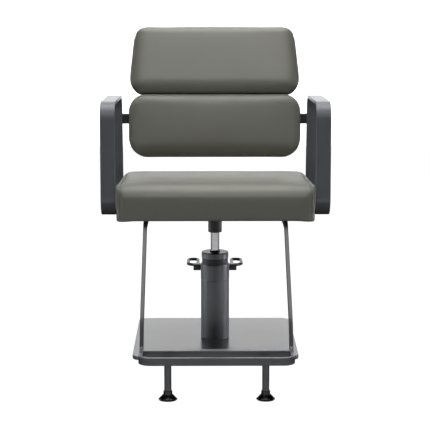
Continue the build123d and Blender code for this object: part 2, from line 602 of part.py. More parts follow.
def make_footrest(rest_places, rest_length):
    path = FilletPolyline(*REST_PATH, radius=REST_BENDS)
    profile = trace(path, line_width=REST_H)
    for name, side in (("footrest_side_left", 1), ("footrest_side_right", -1)):
        bar = extrude(Plane.YZ.offset(side * REST_X - REST_W / 2) * profile, amount=REST_W)
        bar = fillet(bar.faces().filter_by(Axis.X).edges(), REST_EDGE_R)
        parts[name] = drilled(bar, rest_places, BOLT_R, rest_length)
    end_y = REST_PATH[-1][0]
    hoop_path = FilletPolyline((REST_X, end_y), (REST_X, HOOP_Y), (-REST_X, HOOP_Y), (-REST_X, end_y),
                               radius=HOOP_BEND)
    hoop = extrude(Pos(0, 0, HOOP_Z - REST_H / 2) * trace(hoop_path, line_width=REST_W), amount=REST_H)
    parts["footrest_hoop"] = fillet(hoop.faces().filter_by(Axis.Z).edges(), REST_EDGE_R)
    half = REST_X - REST_W / 2
    cross = block(-half, half, REST_CROSS_FRONT, REST_CROSS_FRONT + REST_CROSS_DEPTH, HOOP_Z - REST_H / 2,
                  HOOP_Z + REST_H / 2)
    parts["footrest_crossbar"] = fillet(cross.edges().filter_by(Axis.X), REST_EDGE_R)
    z0 = GLIDE_GAP
    glide_top = z0 + GLIDE_H
    post_bottom = glide_top - POST_DEPTH
    place = [Pos(x, POST_Y, 0) for x in (-POST_X, POST_X)]
    parts["footrest_posts"] = each(place, cylinder(POST_R, post_bottom, HOOP_Z - REST_H / 2))
    rim = (GLIDE_R - GLIDE_LEAN, z0 + GLIDE_RIM)
    waist = z0 + GLIDE_WAIST
    skirt = Spline(rim, *[(radius, z0 + height) for radius, height in GLIDE_SKIRT], (GLIDE_COLLAR_R, waist))
    outline = [
        Line((0, z0), (GLIDE_R - GLIDE_BEVEL, z0)),
        Line((GLIDE_R - GLIDE_BEVEL, z0), (GLIDE_R, z0 + GLIDE_BEVEL)),
        Line((GLIDE_R, z0 + GLIDE_BEVEL), rim),
        skirt,
        Line((GLIDE_COLLAR_R, waist), (GLIDE_COLLAR_R, glide_top)),
        Line((GLIDE_COLLAR_R, glide_top), (0, glide_top)),
        Line((0, glide_top), (0, z0)),
    ]
    glide = revolve(Plane.XZ * make_face(outline), Axis.Z)
    rib_end = GLIDE_R - GLIDE_RIB_INSET
    rib_points = [(GLIDE_RIB_ROOT, z0 + GLIDE_RIB_LOW), (rib_end, z0 + GLIDE_RIB_LOW),
                  (rib_end, z0 + GLIDE_RIB_HIGH), (GLIDE_RIB_TOP_R, waist), (GLIDE_RIB_ROOT, waist)]
    rib_face = make_face(Polyline(*rib_points, close=True))
    rib = extrude(Plane.XZ * rib_face, amount=GLIDE_RIB_HALF_T, both=True)
    for n in range(GLIDE_RIBS):
        glide = glide + Rot(0, 0, 360 / GLIDE_RIBS * n) * rib
    glide = glide - cylinder(POST_R + FIT, post_bottom - FIT, glide_top)
    parts["footrest_glides"] = each(place, glide)


def main():
    os.makedirs("parts", exist_ok=True)
    make_base()
    make_pump()
    make_pedal()
    make_socket()
    rest_places, rest_length, arm_places, arm_length = make_seat()
    bar_places, bar_grip = make_back()
    make_arms(arm_places, arm_length, bar_places, bar_grip)
    make_footrest(rest_places, rest_length)
    for name, shape in parts.items():
        shape.label = name
        export_step(shape, f"parts/{name}.step")


main()
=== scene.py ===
import json
import math

import bmesh
import bpy
import numpy as np
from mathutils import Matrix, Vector
from mathutils.bvhtree import BVHTree


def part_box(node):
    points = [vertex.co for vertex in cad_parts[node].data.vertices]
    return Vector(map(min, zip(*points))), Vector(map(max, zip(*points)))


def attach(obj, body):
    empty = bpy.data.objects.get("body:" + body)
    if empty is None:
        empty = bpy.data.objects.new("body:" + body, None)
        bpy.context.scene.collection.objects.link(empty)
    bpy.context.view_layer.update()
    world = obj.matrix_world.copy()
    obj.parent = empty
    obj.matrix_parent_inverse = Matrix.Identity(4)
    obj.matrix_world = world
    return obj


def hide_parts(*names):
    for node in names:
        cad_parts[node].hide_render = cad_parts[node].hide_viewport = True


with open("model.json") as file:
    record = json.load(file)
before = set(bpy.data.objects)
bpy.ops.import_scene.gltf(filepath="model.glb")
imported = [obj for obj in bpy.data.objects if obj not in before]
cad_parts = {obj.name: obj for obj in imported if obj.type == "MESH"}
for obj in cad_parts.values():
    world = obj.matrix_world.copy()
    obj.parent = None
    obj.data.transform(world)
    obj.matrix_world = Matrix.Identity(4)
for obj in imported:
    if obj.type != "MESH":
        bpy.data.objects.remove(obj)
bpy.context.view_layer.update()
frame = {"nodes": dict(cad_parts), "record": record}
NODES = frame["nodes"]
SCENE = bpy.context.scene


# ---------------------------------------------------------------- mesh helpers

def link(name, mesh):
    """A new object in the scene around a mesh."""
    obj = bpy.data.objects.new(name, mesh)
    SCENE.collection.objects.link(obj)
    return obj


def mesh_object(name, verts, faces, smooth=True):
    """A new object from vertex and face lists."""
    mesh = bpy.data.meshes.new(name)
    mesh.from_pydata([tuple(v) for v in verts], [], faces)
    mesh.update()
    mesh.polygons.foreach_set("use_smooth", [smooth] * len(mesh.polygons))
    return link(name, mesh)


def welded_union(name, nodes):
    """One object holding the meshes of several CAD nodes, with their split vertices joined."""
    bm = bmesh.new()
    for node in nodes:
        bm.from_mesh(NODES[node].data)
    bmesh.ops.remove_doubles(bm, verts=bm.verts, dist=1e-5)
    mesh = bpy.data.meshes.new(name)
    bm.to_mesh(mesh)
    bm.free()
    return link(name, mesh)


def settle(obj):
    """Applies all of an object's modifiers to its mesh."""
    graph = bpy.context.evaluated_depsgraph_get()
    mesh = bpy.data.meshes.new_from_object(obj.evaluated_get(graph))
    obj.modifiers.clear()
    obj.data = mesh
    return obj


def coords(obj):
    """The places of an object's vertices, one row each."""
    out = np.empty(len(obj.data.vertices) * 3)
    obj.data.vertices.foreach_get("co", out)
    return out.reshape(-1, 3)


def set_coords(obj, points):
    """Moves an object's vertices to the places given."""
    obj.data.vertices.foreach_set("co", np.asarray(points, float).ravel())
    obj.data.update()


def normals(obj):
    """The normals of an object's vertices, one row each."""
    out = np.empty(len(obj.data.vertices) * 3)
    obj.data.vertices.foreach_get("normal", out)
    return out.reshape(-1, 3)


def faces_of(obj):
    """An object's faces as tuples of vertex numbers."""
    return [tuple(face.vertices) for face in obj.data.polygons]


def smooth_shade(obj):
    """Shades every face of an object smooth."""
    obj.data.polygons.foreach_set("use_smooth", [True] * len(obj.data.polygons))


def largest_island(obj):
    """Keeps only the connected shell with the most faces."""
    bm = bmesh.new()
    bm.from_mesh(obj.data)
    left = set(bm.verts)
    best = []
    while left:
        start = left.pop()
        stack, island = [start], [start]
        while stack:
            for edge in stack.pop().link_edges:
                for vert in edge.verts:
                    if vert in left:
                        left.remove(vert)
                        stack.append(vert)
                        island.append(vert)
        if len(island) > len(best):
            best = island
    keep = set(best)
    bmesh.ops.delete(bm, geom=[v for v in bm.verts if v not in keep], context="VERTS")
    bm.to_mesh(obj.data)
    bm.free()


def remeshed(obj, voxel, rounds):
    """A voxel remesh, then a few rounds of smoothing that round off every edge."""
    remesh = obj.modifiers.new("Remesh", "REMESH")
    remesh.mode = "VOXEL"
    remesh.voxel_size = voxel
    settle(obj)
    largest_island(obj)
    relax = obj.modifiers.new("Smooth", "SMOOTH")
    relax.factor = 0.5
    relax.iterations = rounds
    return settle(obj)


def spread_out(obj, field, rounds):
    """Averages a per-vertex field over the mesh, so that only its broad shape is left."""
    mesh = obj.data
    pairs = np.empty(len(mesh.edges) * 2, dtype=np.int64)
    mesh.edges.foreach_get("vertices", pairs)
    first, second = pairs.reshape(-1, 2).T
    count = np.bincount(first, minlength=len(field)) + np.bincount(second, minlength=len(field))
    for _ in range(rounds):
        total = np.zeros_like(field)
        np.add.at(total, first, field[second])
        np.add.at(total, second, field[first])
        field = 0.5 * field + 0.5 * total / np.maximum(count, 1)[:, None]
    return field


def inflate(obj, held, cap, rounds, share, turn):
    """Blows the mesh up as a cloth bag, its held vertices fixed, and keeps a share of each capped move."""
    start = coords(obj)
    group = obj.vertex_groups.new(name="held")
    group.add([int(i) for i in np.nonzero(held)[0]], 1.0, "REPLACE")
    cloth = obj.modifiers.new("Cloth", "CLOTH")
    cloth.point_cache.frame_start = 1
    cloth.point_cache.frame_end = SIM_FRAMES
    cloth.settings.quality = 5
    cloth.settings.mass = 0.3
    cloth.settings.tension_stiffness = 25
    cloth.settings.compression_stiffness = 25
    cloth.settings.shear_stiffness = 10
    cloth.settings.bending_stiffness = 4
    cloth.settings.vertex_group_mass = "held"
    cloth.settings.use_pressure = True
    cloth.settings.uniform_pressure_force = PRESSURE
    cloth.settings.effector_weights.gravity = 0
    for number in range(1, SIM_FRAMES + 1):
        SCENE.frame_set(number)
    settle(obj)
    SCENE.frame_set(1)
    move = coords(obj) - start
    length = np.linalg.norm(move, axis=1)
    scale = cap * np.tanh(length / cap) / np.maximum(length, 1e-9)
    move = spread_out(obj, move * scale[:, None], rounds)
    set_coords(obj, start + (move @ turn.T * share) @ turn)
    return obj


def subdivided(obj):
    """One level of subdivision, shaded smooth."""
    obj.modifiers.new("Subdivision", "SUBSURF").levels = 1
    settle(obj)
    smooth_shade(obj)
    return obj


def bell(distance, width):
    """A smooth bump: 1 at distance 0, fading over a width."""
    return np.exp(-(distance / width) ** 2)


def step(value, low, high):
    """A smooth rise from 0 at low to 1 at high."""
    t = np.clip((value - low) / (high - low), 0, 1)
    return t * t * (3 - 2 * t)


def circle(centre, up, side, radius, sides):
    """Points round a circle."""
    turns = [2 * math.pi * k / sides for k in range(sides)]
    return [centre + radius * (math.cos(turn) * up + math.sin(turn) * side) for turn in turns]


def band(low, high, sides):
    """The faces between two rings of points, each ring given by its first index."""
    return [(low + k, low + (k + 1) % sides, high + (k + 1) % sides, high + k) for k in range(sides)]


def end_faces(first, last, sides):
    """The faces that close a tube, its end rings given by their first indices."""
    return [tuple(range(first, first + sides))[::-1], tuple(range(last, last + sides))]


def tube(name, path, radius, closed=False, sides=10):
    """A round tube through a list of points."""
    points = [Vector(p) for p in path]
    count = len(points)
    verts = []
    up = None
    for i, point in enumerate(points):
        before = points[(i - 1) % count] if closed or i else point
        after = points[(i + 1) % count] if closed or i < count - 1 else point
        along = (after - before).normalized()
        if up is None:
            up = along.orthogonal().normalized()
        up = (up - along * up.dot(along)).normalized()
        verts += circle(point, up, along.cross(up), radius, sides)
    rings = [i * sides for i in range(count)]
    nexts = rings[1:] + (rings[:1] if closed else [])
    faces = [face for low, high in zip(rings, nexts) for face in band(low, high, sides)]
    if not closed:
        faces += end_faces(rings[0], rings[-1], sides)
    return mesh_object(name, verts, faces)


def resampled(path, spacing, closed=False):
    """Points at an even spacing along a line of points."""
    points = [Vector(p) for p in path]
    if closed:
        points.append(points[0])
    lengths = [0.0]
    for a, b in zip(points, points[1:]):
        lengths.append(lengths[-1] + (b - a).length)
    count = max(2, round(lengths[-1] / spacing))
    out = []
    j = 0
    for i in range(count + (0 if closed else 1)):
        target = lengths[-1] * i / count
        while j < len(lengths) - 2 and lengths[j + 1] < target:
            j += 1
        span = max(lengths[j + 1] - lengths[j], 1e-9)
        out.append(points[j].lerp(points[j + 1], (target - lengths[j]) / span))
    return out


def stitches(name, path):
    """Short threads end to end along a path, as one object."""
    verts, faces = [], []
    places = resampled(path, STITCH_LENGTH + STITCH_GAP)
    for start, end in zip(places, places[1:]):
        along = (end - start).normalized()
        up = along.orthogonal().normalized()
        first = len(verts)
        for share, fat in STITCH_RINGS:
            centre = start + along * (STITCH_LENGTH * share)
            verts += circle(centre, up, along.cross(up), STITCH_RADIUS * fat, STITCH_SIDES)
        rings = [first + i * STITCH_SIDES for i in range(len(STITCH_RINGS))]
        for low, high in zip(rings, rings[1:]):
            faces += band(low, high, STITCH_SIDES)
        faces += end_faces(rings[0], rings[-1], STITCH_SIDES)
    return mesh_object(name, verts, faces)


STITCH_LENGTH = 0.0034
STITCH_GAP = 0.0012
STITCH_RADIUS = 0.00045
STITCH_SIDES = 6
STITCH_RINGS = ((0.0, 0.35), (0.18, 1.0), (0.82, 1.0), (1.0, 0.35))  # place along it, share of its radius


# ------------------------------------------------------------------- materials

class Shade:
    """A small builder for one node material."""

    def __init__(self, name, colour, roughness, metallic=0.0):
        self.material = bpy.data.materials.new(name)
        self.material.use_nodes = True
        self.tree = self.material.node_tree
        self.bsdf = self.tree.nodes["Principled BSDF"]
        self.place = self.node("ShaderNodeTexCoord").outputs["Object"]
        self.colour = colour
        self.set("Base Color", (*colour, 1))
        self.set("Roughness", roughness)
        self.set("Metallic", metallic)
        self.last_bump = None

    def node(self, kind, settings=None, **inputs):
        """Adds a node, with its settings and its inputs by name."""
        made = self.tree.nodes.new(kind)
        for key, value in (settings or {}).items():
            setattr(made, key, value)
        for key, value in inputs.items():
            self.put(made.inputs[key.replace("_", " ")], value)
        return made

    def put(self, socket, value):
        """Links another node's output to a socket, or sets the socket to a plain value."""
        if isinstance(value, bpy.types.NodeSocket):
            self.tree.links.new(value, socket)
        else:
            socket.default_value = value

    def set(self, name, value):
        """Sets an input of the surface."""
        self.put(self.bsdf.inputs[name], value)

    def noise(self, scale, detail=3.0, stretch=(1, 1, 1)):
        """Noise in the object's own coordinates."""
        mapped = self.node("ShaderNodeMapping", Vector=self.place, Scale=stretch)
        made = self.node("ShaderNodeTexNoise", Vector=mapped.outputs["Vector"], Scale=scale, Detail=detail)
        return made.outputs["Fac"]

    def cells(self, scale, feature="SMOOTH_F1"):
        """The distance to the nearest of many scattered points, for pores and creases."""
        made = self.node("ShaderNodeTexVoronoi", {"feature": feature}, Vector=self.place, Scale=scale)
        return made.outputs["Distance"]

    def spread(self, value, low, high, start=0.3, end=0.7):
        """A value between start and end, brought to between low and high."""
        made = self.node("ShaderNodeMapRange", Value=value)
        for key, number in (("From Min", start), ("From Max", end), ("To Min", low), ("To Max", high)):
            made.inputs[key].default_value = number
        return made.outputs["Result"]

    def bump(self, height, strength, distance):
        """Adds a layer of bump over the layers before it."""
        made = self.node("ShaderNodeBump", Height=height, Strength=strength, Distance=distance)
        if self.last_bump:
            self.put(made.inputs["Normal"], self.last_bump)
        self.last_bump = made.outputs["Normal"]
        self.set("Normal", self.last_bump)

    def mix(self, factor, first, second):
        """A mix of two colours; a Mix node keeps its colour sockets at 6, 7 and 2."""
        made = self.node("ShaderNodeMix", {"data_type": "RGBA"})
        self.put(made.inputs[0], factor)
        self.put(made.inputs[6], first)
        self.put(made.inputs[7], second)
        return made.outputs[2]

    def tint(self, amount):
        """The base colour made lighter or darker."""
        return (*[min(1.0, c * amount) for c in self.colour], 1)

    def mottle(self, value, dark, light):
        """Varies the base colour a little from place to place."""
        self.base = self.mix(self.spread(value, 0, 1), self.tint(dark), self.tint(light))
        self.set("Base Color", self.base)

    def wear_and_highlight_edges(self, radius, amount, start=0.004, end=0.10):
        """Mixes a lighter colour in along the edges: partly wear where handling polishes a finish, partly a
        painted highlight.
        """
        bevel = self.node("ShaderNodeBevel", {"samples": 6}, Radius=radius)
        geometry = self.node("ShaderNodeNewGeometry")
        dot = self.node("ShaderNodeVectorMath", {"operation": "DOT_PRODUCT"})
        self.put(dot.inputs[0], bevel.outputs["Normal"])
        self.put(dot.inputs[1], geometry.outputs["Normal"])
        edge = self.node("ShaderNodeMath", {"operation": "SUBTRACT"})
        edge.inputs[0].default_value = 1.0
        self.put(edge.inputs[1], dot.outputs["Value"])
        mask = self.spread(edge.outputs[0], 0, 1, start, end)
        self.base = self.mix(mask, self.base, self.tint(amount))
        self.set("Base Color", self.base)


def powder_coat(name, colour, roughness, edge_wear_and_highlight, vary=0.025):
    """Fine orange-peel paint, lighter along its edges: partly wear, partly a painted highlight."""
    shade = Shade(name, colour, roughness)
    shade.set("Roughness", shade.spread(shade.noise(35, detail=4), roughness - vary, roughness + vary))
    shade.mottle(shade.noise(14, detail=4), dark=0.97, light=1.03)
    # lighter edges: partly wear, partly a painted highlight
    shade.wear_and_highlight_edges(radius=0.0016, amount=edge_wear_and_highlight)
    shade.bump(shade.noise(1400, detail=2), strength=0.10, distance=0.0001)
    shade.bump(shade.noise(260, detail=2), strength=0.03, distance=0.0002)
    return shade.material


def satin_metal(name, colour, roughness, stretch=(1, 1, 1), scale=900):
    """Bare metal with fine lines from grinding or polishing."""
    shade = Shade(name, colour, roughness, metallic=1.0)
    lines = shade.noise(scale, 3, stretch)
    shade.set("Roughness", shade.spread(lines, roughness - 0.03, roughness + 0.05))
    shade.mottle(shade.noise(60, detail=3), dark=0.94, light=1.04)
    shade.bump(lines, strength=0.05, distance=0.00008)
    return shade.material


def vinyl(name, colour):
    """Grained upholstery vinyl: pores over a net of fine creases."""
    shade = Shade(name, colour, 0.44)
    pores = shade.cells(1050)
    creases = shade.cells(420, "F1")
    shade.set("Roughness", shade.spread(shade.noise(22, detail=4), 0.42, 0.5))
    shade.mottle(shade.noise(9, detail=5), dark=0.965, light=1.035)
    shade.bump(creases, strength=0.10, distance=0.0003)
    shade.bump(pores, strength=0.22, distance=0.00022)
    shade.bump(shade.noise(2600, detail=2), strength=0.08, distance=0.0001)
    shade.set("Sheen Weight", 0.04)
    return shade.material


def rubber(name, colour, roughness):
    """Dull rubber with a dusty, uneven shade."""
    shade = Shade(name, colour, roughness)
    shade.mottle(shade.noise(80, detail=4), dark=0.85, light=1.25)
    shade.set("Roughness", shade.spread(shade.noise(120, detail=3), roughness - 0.07, roughness + 0.07))
    shade.bump(shade.noise(900, detail=3), strength=0.2, distance=0.0002)
    return shade.material


def moulded_plastic(name, colour, roughness):
    """Moulded plastic with a soft texture and lighter edges: partly rubbed, partly a painted highlight."""
    shade = Shade(name, colour, roughness)
    shade.mottle(shade.noise(50, detail=3), dark=0.9, light=1.15)
    # lighter edges: partly rubbing, partly a painted highlight
    shade.wear_and_highlight_edges(radius=0.0008, amount=2.2)
    shade.set("Roughness", shade.spread(shade.noise(160, detail=3), roughness - 0.05, roughness + 0.08))
    shade.bump(shade.noise(700, detail=2), strength=0.08, distance=0.0002)
    return shade.material


def plywood(name, colour):
    """Plywood with grain on its faces and plies along its edges."""
    shade = Shade(name, colour, 0.6)
    grain = shade.noise(18, 6, (1, 14, 60))
    plies = shade.node("ShaderNodeTexWave", {"bands_direction": "Z"}, Vector=shade.place, Scale=210.0,
                       Distortion=0.6)
    shade.mottle(grain, dark=0.75, light=1.15)
    shade.base = shade.mix(shade.spread(plies.outputs["Fac"], 0, 0.35), shade.base, shade.tint(0.55))
    shade.set("Base Color", shade.base)
    shade.bump(grain, strength=0.3, distance=0.0004)
    return shade.material


def woven_cloth(name, colour):
    """A thin plain weave."""
    shade = Shade(name, colour, 0.9)
    warp = shade.node("ShaderNodeTexWave", {"bands_direction": "X"}, Vector=shade.place, Scale=330.0)
    weft = shade.node("ShaderNodeTexWave", {"bands_direction": "Y"}, Vector=shade.place, Scale=330.0)
    both = shade.node("ShaderNodeMath", {"operation": "MAXIMUM"})
    shade.put(both.inputs[0], warp.outputs["Fac"])
    shade.put(both.inputs[1], weft.outputs["Fac"])
    shade.mottle(shade.noise(70, detail=5), dark=0.7, light=1.5)
    shade.bump(both.outputs[0], strength=0.4, distance=0.0003)
    shade.set("Sheen Weight", 0.2)
    return shade.material


def thread(name, colour):
    """Twisted sewing thread."""
    shade = Shade(name, colour, 0.7)
    twist = shade.node("ShaderNodeTexWave", {"bands_direction": "DIAGONAL"}, Vector=shade.place, Scale=900.0)
    shade.mottle(shade.noise(400, detail=2), dark=0.85, light=1.1)
    shade.bump(twist.outputs["Fac"], strength=0.4, distance=0.0002)
    return shade.material


ANTHRACITE = (0.178, 0.185, 0.208)
BLACK = (0.016, 0.016, 0.017)
VINYL = (0.25, 0.25, 0.213)
BAR_PAINTED_SHADE = 0.45  # painted shade: the side bars' paint is made darker than the rest, standing in for the seat's shadow on them, only to come nearer the photo's shade

# each paint's fourth argument lightens its edges: partly wear, partly a painted highlight
coat = powder_coat("anthracite_powder_coat", ANTHRACITE, 0.32, 1.6)
plate_coat = powder_coat("plate_powder_coat", ANTHRACITE, 0.26, 1.6, 0.006)
# the side bars' paint, darkened as painted shade
bar_coat_painted_shade = powder_coat("footrest_powder_coat_painted_shade", tuple(BAR_PAINTED_SHADE * c for c in ANTHRACITE), 0.34, 1.4)
black_paint = powder_coat("black_paint", BLACK, 0.36, 4.0)
chrome = satin_metal("polished_chrome", (0.6, 0.6, 0.62), 0.08, (1, 1, 0.05), 500)
steel = satin_metal("ground_steel", (0.5, 0.5, 0.52), 0.3)
zinc = satin_metal("dark_zinc", (0.12, 0.12, 0.13), 0.4)
bronze = satin_metal("bronze", (0.56, 0.38, 0.19), 0.3)
black_rubber = rubber("black_rubber", (0.015, 0.015, 0.015), 0.65)
glide_plastic = moulded_plastic("glide_plastic", (0.009, 0.009, 0.01), 0.22)
grey_vinyl = vinyl("grey_vinyl", VINYL)
ply = plywood("plywood", (0.5, 0.36, 0.2))
dust_cloth = woven_cloth("dust_cloth", (0.012, 0.012, 0.012))
seam_thread = thread("seam_thread", (0.16, 0.16, 0.14))

BY_SLOT = {
    "anthracite_paint": coat,
    "black_steel": black_paint,
    "chrome": chrome,
    "bright_steel": steel,
    "zinc_fastener": zinc,
    "bronze": bronze,
    "black_rubber": black_rubber,
    "black_plastic": glide_plastic,
    "grey_vinyl": grey_vinyl,
    "plywood": ply,
    "foam": dust_cloth,
    "dust_cloth": dust_cloth,
}


def dress(obj, material):
    """Gives an object one material and no other."""
    obj.data.materials.clear()
    obj.data.materials.append(material)


def finish_piece(obj, body, material, nodes=()):
    """Gives a new piece its material, its body and the CAD nodes that it stands for."""
    dress(obj, material)
    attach(obj, body)
    if nodes:
        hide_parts(*nodes)


for row in frame["record"]["subparts"]:
    dress(NODES[row["node"]], BY_SLOT[row["material_slot"]])
dress(NODES["base_plate"], plate_coat)
# the side bars take the paint darkened as painted shade
for name in ("footrest_side_left", "footrest_side_right"):
    dress(NODES[name], bar_coat_painted_shade)


# -------------------------------------------------------------------- cushions

SEAT_BODY = "seat"
SIM_FRAMES = 20            # frames that a cushion is blown up for
PRESSURE = 4.0             # pressure in the cloth bag
PULLED_IN = 0.004          # how far a cushion's sides start inside its CAD outline
REAR_FACING = -0.6         # vertices whose normal's last part is below this are on the board's side

BACK_VOXEL, BACK_SMOOTHING = 0.005, 8
BACK_CAP, BACK_SPREADING = 0.012, 70
BACK_SHARE = (0.3, 0.3, 1.0)  # share of the simulated move that is kept along each axis
LEAN = {"lower": math.radians(8), "upper": math.radians(21)}
CROWN = {"lower": 0.004, "upper": 0.001}
HALF_WIDTH_TOP = {"lower": 0.251, "upper": 0.2335}
ROLLS = {"lower": (0.045, 0.024, 0.036), "upper": (0.043, 0.022, 0.040)}  # bottom, top and sides
ROLL_POWER = 2.4           # above 2, a roll starts softly and ends steeply
BOTTOM_ROLL_DEPTH = 1.35   # how much deeper the bottom roll goes than a round one
TOP_LIFT = {"lower": 0.0, "upper": 0.0042}
TOP_ZONE, TOP_BOW = 0.06, 0.0012
UNEVEN, UNEVEN_ACROSS, UNEVEN_UP, UNEVEN_START = 0.0004, 17, 23, 9
THINNEST, SOFTNESS, LEAST_SHARE = 0.004, 0.002, 0.3
LEAST_DEPTH = 0.001        # a column is never taken as thinner than this before it is rolled
PROBE_GAP = 0.1            # how far in front of a cushion the lines start that measure it

SEAT_VOXEL, SEAT_SMOOTHING = 0.006, 3
SEAT_CAP, SEAT_SPREADING = 0.009, 60
SEAT_SHARE = (0.25, 0.25, 0.4)  # as for the back
SEAT_CROWN, REAR_RISE, BOTTOM_SAG = 0.002, 0.0034, 0.0026
SIDE_ZONE, SIDE_START = 0.09, 0.01
FRONT_WIDENING, REAR_NARROWING = 0.0055, 0.006
SIDE_SOFT_START, SIDE_SOFTNESS = 0.004, 0.005
CORNER_DROOP, CORNER_WIDTH, CORNER_DEPTH = 0.004, 0.03, 0.04
# the shares of the seat's height or depth over which a change sets in or fades
TOP_PART, SAG_PART, DROOP_PART, UPPER_PART = (0.4, 0.9), (0.02, 0.35), (0.0, 0.5), (0.3, 0.8)
RISE_PART, WIDE_PART, CORNER_PART = (0.45, 0.95), (0.55, 0.95), (0.8, 1.0)
SEAM_INSET, SEAM_WIDTH, SEAM_GROOVE = 0.0085, 0.0045, 0.0022
SEAM_RISE = (0.002, 0.02)  # heights above the seat's bottom between which the seam's groove sets in
SEAM_TURNS = np.linspace(-0.72, 3.86, 150)  # from under the front edge, over the top, to under the rear
SEAM_CENTRE = 0.045        # height of the seam's centre above the seat's bottom
SEAM_OUTSIDE, SEAM_CORE = (0.6, 0.6), (0.17, 0.01)

WELT_SPACING, WELT_SIDES = 0.006, 8
SEAT_WELT_RADIUS, BACK_WELT_RADIUS = 0.0014, 0.0018
SEAT_STITCH_INSET = 0.0125
BACK_WELT_DEPTH, BACK_STITCH_DEPTH = 0.009, 0.014
BACK_CORNER_RADIUS, BACK_RING_POINTS = 0.05, 240
BACK_OUTSIDE, BACK_CORE = 1.5, 0.8
SURFACE_LIFT = 0.0002      # how far seams stand off the vinyl


def leaning(points, lean):
    """World points as (x, up along the leaning plane, forward out of it), and the turn that does it."""
    s, c = math.sin(lean), math.cos(lean)
    turn = np.array([[1, 0, 0], [0, s, c], [0, -c, s]])
    return points @ turn.T, turn


def scaled(points, middle, factors):
    """Points scaled about a middle along their first two axes."""
    out = points.copy()
    for axis in (0, 1):
        out[:, axis] = middle[axis] + (points[:, axis] - middle[axis]) * factors[axis]
    return out


def pulled_in(points, low, high):
    """Points with the sides of their box pulled in."""
    return scaled(points, (low + high) / 2, 1 - 2 * PULLED_IN / (high - low))


def filled_out(points, low, high):
    """Points that reach the sides of their box again."""
    return scaled(points, (low + high) / 2, (high - low) / (points.max(axis=0) - points.min(axis=0)))


def surface_tree(points, faces):
    """A tree for finding where lines meet a surface."""
    return BVHTree.FromPolygons([Vector(p) for p in points], faces)


def rolled(kind, own, faces, low, high):
    """How much thinner each column of the cushion becomes, so that its front rolls over at every edge."""
    bottom_r, top_r, side_r = ROLLS[kind]
    height = high[1] - low[1]
    rise = (own[:, 1] - low[1]) / height
    taper = HALF_WIDTH_TOP[kind] / high[0]
    half = high[0] * (1 + (taper - 1) * np.clip(rise, 0, 1))
    thick = high[2] - low[2] + CROWN[kind] * (1 - (2 * rise - 1) ** 2) * (1 - (own[:, 0] / half) ** 4)
    waves = np.sin(own[:, 0] * UNEVEN_ACROSS + height * UNEVEN_START)
    thick += UNEVEN * waves * np.sin(own[:, 1] * UNEVEN_UP)
    edges = ((own[:, 1] - low[1], bottom_r, BOTTOM_ROLL_DEPTH),
             (high[1] - own[:, 1], top_r, 1.0),
             (half - np.abs(own[:, 0]), side_r, 1.0))
    for gap, radius, depth in edges:
        inside = np.clip(1 - gap / radius, 0, 1)
        thick = thick - depth * radius * (1 - np.sqrt(1 - inside ** ROLL_POWER))
    thick = np.maximum(thick, THINNEST)
    tree = surface_tree(own, faces)
    share = np.ones(len(own))
    for i, (x, up, _) in enumerate(own):
        place, _, _, _ = tree.ray_cast(Vector((x, up, high[2] + PROBE_GAP)), Vector((0, 0, -1)))
        if place is not None:
            now = max(place.z - low[2], LEAST_DEPTH)
            wanted = -SOFTNESS * np.logaddexp(-now / SOFTNESS, -thick[i] / SOFTNESS)
            share[i] = max(wanted / now, LEAST_SHARE)
    return share


def back_cushion(kind):
    """One back cushion: foam under a stretched vinyl cover, flat at the rear where the board holds it.

    The simulation blows it up; its front profile is then set by rolled(), not by the simulation.
    """
    nodes = ["back_cover_" + kind, "back_foam_" + kind, "back_panel_" + kind]
    cushion = welded_union("back_cushion_" + kind, nodes + ["back_board_" + kind])
    lean = LEAN[kind]
    target, turn = leaning(coords(cushion), lean)
    low, high = target.min(axis=0), target.max(axis=0)
    remeshed(cushion, BACK_VOXEL, BACK_SMOOTHING)
    own, _ = leaning(coords(cushion), lean)
    set_coords(cushion, pulled_in(own, low, high) @ turn)
    facing, _ = leaning(normals(cushion), lean)
    inflate(cushion, facing[:, 2] < REAR_FACING, BACK_CAP, BACK_SPREADING, BACK_SHARE, turn)
    own = filled_out(leaning(coords(cushion), lean)[0], low, high)
    near_top = step(own[:, 1], high[1] - TOP_ZONE, high[1])
    own[:, 1] += near_top * (TOP_LIFT[kind] - TOP_BOW * (own[:, 0] / high[0]) ** 2)
    own[:, 2] = low[2] + (own[:, 2] - low[2]) * rolled(kind, own, faces_of(cushion), low, high)
    set_coords(cushion, own @ turn)
    subdivided(cushion)
    finish_piece(cushion, SEAT_BODY, grey_vinyl, nodes)
    back_seams(cushion, kind, low, high, turn)


def rounded_box(half_x, half_y, radius, count):
    """Evenly spaced points round a rectangle with rounded corners."""
    corner_steps = 12
    outline = []
    for quarter, (cx, cy) in enumerate(((1, 1), (-1, 1), (-1, -1), (1, -1))):
        for k in range(corner_steps + 1):
            angle = math.pi / 2 * (quarter + k / corner_steps)
            outline.append((cx * (half_x - radius) + radius * math.cos(angle),
                            cy * (half_y - radius) + radius * math.sin(angle), 0))
    return [(p.x, p.y) for p in resampled(outline, 4 * (half_x + half_y) / count, True)]


def surface_line(obj, starts, aims):
    """Points on a piece's surface, where lines from the starts towards the aims meet it from outside."""
    tree = surface_tree(coords(obj), faces_of(obj))
    out = []
    for start, aim in zip(starts, aims):
        direction = (Vector(aim) - Vector(start)).normalized()
        place, normal, _, _ = tree.ray_cast(Vector(start), direction)
        if place is not None:
            out.append(place + normal * SURFACE_LIFT)
    return out


